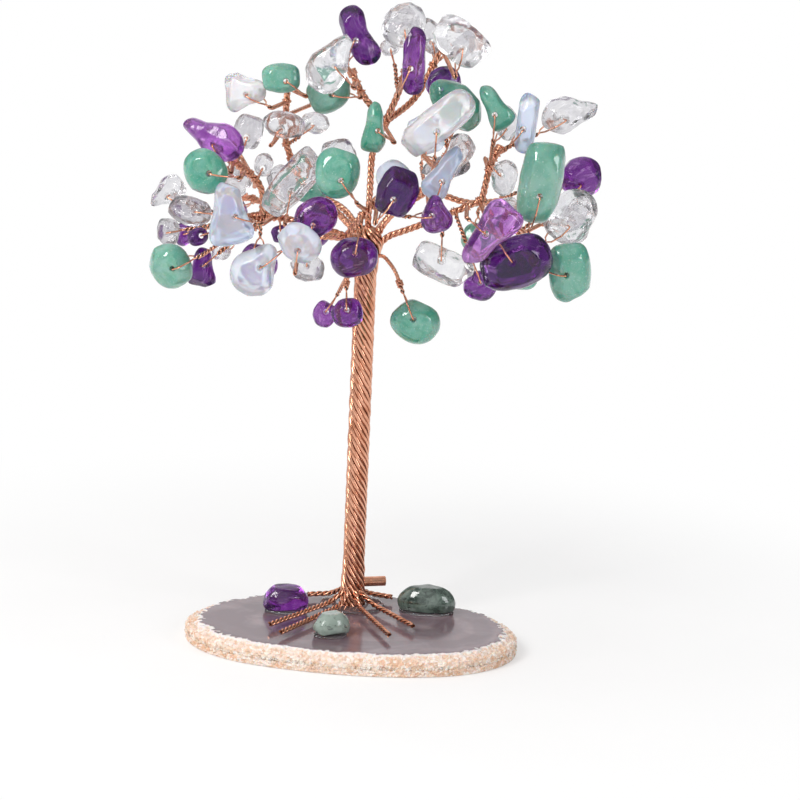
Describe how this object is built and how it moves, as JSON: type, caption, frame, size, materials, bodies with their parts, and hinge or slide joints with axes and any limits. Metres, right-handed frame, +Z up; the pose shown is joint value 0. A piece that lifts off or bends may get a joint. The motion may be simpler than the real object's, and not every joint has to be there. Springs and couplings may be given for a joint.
{
  "type": "gemstone wire tree ornament",
  "caption": "Small decorative wire tree: a twisted copper rope trunk on a polished agate slice, its bendable wire branches ending in drilled gemstone chips on wire loops.",
  "frame": {"origin": "on the underside of the agate slice, straight below the trunk", "axes": "+Z up along the trunk, +X to the viewer's right and +Y away from the viewer, who sees the three glued stones in front of the trunk"},
  "size_m": [0.0804, 0.0578, 0.1153],
  "materials": {
    "copper": "bright copper wire, a little darkened in the grooves",
    "agate": "polished faces, rough sandy rind at the edge",
    "amethyst": "tumbled and polished, translucent purple",
    "aventurine": "tumbled and polished, waxy green",
    "moss_stone": "tumbled and polished, dark green",
    "quartz": "tumbled and polished, clear with veils",
    "opalite": "tumbled and polished, milky blue",
    "glue": "clear, glossy"
  },
  "bodies": {
    "base": {"agate_slice": "agate", "trunk_rope": "copper", "core_rod": "copper", "root_wires": "copper", "clear_glue": "glue", "base_amethyst": "amethyst", "base_aventurine": "aventurine", "base_moss_stone": "moss_stone"},
    "left_branch": {"left_amethyst": "amethyst", "left_aventurine": "aventurine", "left_opalite": "opalite", "left_quartz": "quartz", "left_stems": "copper", "left_wires": "copper"},
    "upper_left_branch": {"upper_left_aventurine": "aventurine", "upper_left_opalite": "opalite", "upper_left_quartz": "quartz", "upper_left_wires": "copper"},
    "top_branch": {"top_amethyst": "amethyst", "top_aventurine": "aventurine", "top_quartz": "quartz", "top_stems": "copper", "top_wires": "copper"},
    "upper_right_branch": {"upper_right_amethyst": "amethyst", "upper_right_aventurine": "aventurine", "upper_right_opalite": "opalite", "upper_right_quartz": "quartz", "upper_right_wires": "copper"},
    "right_branch": {"right_amethyst": "amethyst", "right_aventurine": "aventurine", "right_opalite": "opalite", "right_quartz": "quartz", "right_stems": "copper", "right_wires": "copper"},
    "front_branch": {"front_amethyst": "amethyst", "front_opalite": "opalite", "front_quartz": "quartz", "front_stems": "copper", "front_wires": "copper"},
    "right_hanger_branch": {"right_hanger_wires": "copper"},
    "left_hanger_branch": {"left_hanger_amethyst": "amethyst", "left_hanger_wires": "copper"},
    "back_left_branch": {"back_left_amethyst": "amethyst", "back_left_quartz": "quartz", "back_left_wires": "copper"},
    "back_right_branch": {"back_right_aventurine": "aventurine", "back_right_opalite": "opalite", "back_right_wires": "copper"},
    "left_tip_quartz": {"left_tip_quartz": "quartz"},
    "left_drop_amethyst": {"left_drop_amethyst": "amethyst"},
    "upper_left_tip_aventurine": {"upper_left_tip_aventurine": "aventurine"},
    "top_drop_quartz": {"top_drop_quartz": "quartz"},
    "top_tip_quartz": {"top_tip_quartz": "quartz"},
    "right_dark_amethyst": {"right_dark_amethyst": "amethyst"},
    "right_tip_quartz": {"right_tip_quartz": "quartz"},
    "right_tip_amethyst": {"right_tip_amethyst": "amethyst"},
    "front_drop_opalite": {"front_drop_opalite": "opalite"},
    "front_egg_aventurine": {"front_egg_aventurine": "aventurine"},
    "hanging_aventurine": {"hanging_aventurine": "aventurine"},
    "hanging_amethyst": {"hanging_amethyst": "amethyst"}
  },
  "joints": [
    {"name": "left_bend", "type": "hinge", "parent": "base", "child": "left_branch", "pos_m": [-0.00374, -0.00111, 0.07261], "axis": [0, 1, 0], "range_deg": [-5, 2]},
    {"name": "upper_left_bend", "type": "hinge", "parent": "base", "child": "upper_left_branch", "pos_m": [-0.00295, 0.00129, 0.07386], "axis": [1, 0, 0], "range_deg": [-5, 12]},
    {"name": "top_bend", "type": "hinge", "parent": "base", "child": "top_branch", "pos_m": [0.00008, 0, 0.07541], "axis": [1, 0, 0], "range_deg": [-10, 3]},
    {"name": "upper_right_bend", "type": "hinge", "parent": "base", "child": "upper_right_branch", "pos_m": [0.00257, 0.00028, 0.0745], "axis": [0, 1, 0], "range_deg": [-6, 3]},
    {"name": "right_bend", "type": "hinge", "parent": "base", "child": "right_branch", "pos_m": [0.00374, -0.00074, 0.07285], "axis": [0, 1, 0], "range_deg": [-3, 12]},
    {"name": "front_bend", "type": "hinge", "parent": "base", "child": "front_branch", "pos_m": [-0.00097, -0.00376, 0.07266], "axis": [1, 0, 0], "range_deg": [-2, 12]},
    {"name": "right_hanger_bend", "type": "hinge", "parent": "base", "child": "right_hanger_branch", "pos_m": [0.00201, -0.00304, 0.0697], "axis": [1, 0, 0], "range_deg": [-15, 15]},
    {"name": "left_hanger_bend", "type": "hinge", "parent": "base", "child": "left_hanger_branch", "pos_m": [-0.001, -0.00356, 0.0691], "axis": [1, 0, 0], "range_deg": [-15, 15]},
    {"name": "back_left_bend", "type": "hinge", "parent": "base", "child": "back_left_branch", "pos_m": [-0.00162, 0.00341, 0.07295], "axis": [1, 0, 0], "range_deg": [-10, 10]},
    {"name": "back_right_bend", "type": "hinge", "parent": "base", "child": "back_right_branch", "pos_m": [0.00154, 0.00354, 0.07273], "axis": [1, 0, 0], "range_deg": [-10, 10]},
    {"name": "left_tip_quartz_turn", "type": "hinge", "parent": "left_branch", "child": "left_tip_quartz", "pos_m": [-0.03493, -0.00029, 0.07855], "axis": [-0.342, -0.9397, 0], "range_deg": [-15, 15]},
    {"name": "left_drop_amethyst_turn", "type": "hinge", "parent": "left_branch", "child": "left_drop_amethyst", "pos_m": [-0.02688, -0.00552, 0.08877], "axis": [-0.2549, -0.9513, 0.1736], "range_deg": [-12, 8]},
    {"name": "upper_left_tip_aventurine_turn", "type": "hinge", "parent": "upper_left_branch", "child": "upper_left_tip_aventurine", "pos_m": [-0.01503, -0.00993, 0.10114], "axis": [0.0858, -0.9811, 0.1736], "range_deg": [-15, 15]},
    {"name": "top_drop_quartz_turn", "type": "hinge", "parent": "top_branch", "child": "top_drop_quartz", "pos_m": [-0.00634, -0.01311, 0.10453], "axis": [-0.0858, -0.9811, 0.1736], "range_deg": [-15, 12]},
    {"name": "top_tip_quartz_turn", "type": "hinge", "parent": "top_branch", "child": "top_tip_quartz", "pos_m": [0.01478, -0.01074, 0.1082], "axis": [0.171, -0.9698, 0.1736], "range_deg": [-12, 15]},
    {"name": "right_dark_amethyst_turn", "type": "hinge", "parent": "right_branch", "child": "right_dark_amethyst", "pos_m": [0.02511, -0.01667, 0.07336], "axis": [0.0868, -0.9924, -0.0872], "range_deg": [-15, 15]},
    {"name": "right_tip_quartz_turn", "type": "hinge", "parent": "right_branch", "child": "right_tip_quartz", "pos_m": [0.03333, -0.00343, 0.09565], "axis": [0.2578, -0.9623, 0.0872], "range_deg": [-15, 15]},
    {"name": "right_tip_amethyst_turn", "type": "hinge", "parent": "right_branch", "child": "right_tip_amethyst", "pos_m": [0.03673, 0.00479, 0.08293], "axis": [0.342, -0.9397, 0], "range_deg": [-15, 15]},
    {"name": "front_drop_opalite_turn", "type": "hinge", "parent": "front_branch", "child": "front_drop_opalite", "pos_m": [-0.01766, -0.01526, 0.06988], "axis": [-0.173, -0.9811, -0.0872], "range_deg": [-6, 15]},
    {"name": "front_egg_aventurine_turn", "type": "hinge", "parent": "front_branch", "child": "front_egg_aventurine", "pos_m": [-0.00458, -0.02109, 0.08647], "axis": [0, -0.9962, 0.0872], "range_deg": [-15, 15]},
    {"name": "hanging_aventurine_turn", "type": "hinge", "parent": "right_hanger_branch", "child": "hanging_aventurine", "pos_m": [0.00863, -0.00825, 0.06032], "axis": [0.0868, -0.9924, -0.0872], "range_deg": [-20, 20]},
    {"name": "hanging_amethyst_turn", "type": "hinge", "parent": "left_hanger_branch", "child": "hanging_amethyst", "pos_m": [-0.00292, -0.0096, 0.06137], "axis": [0, -1, 0], "range_deg": [-20, 20]}
  ]
}
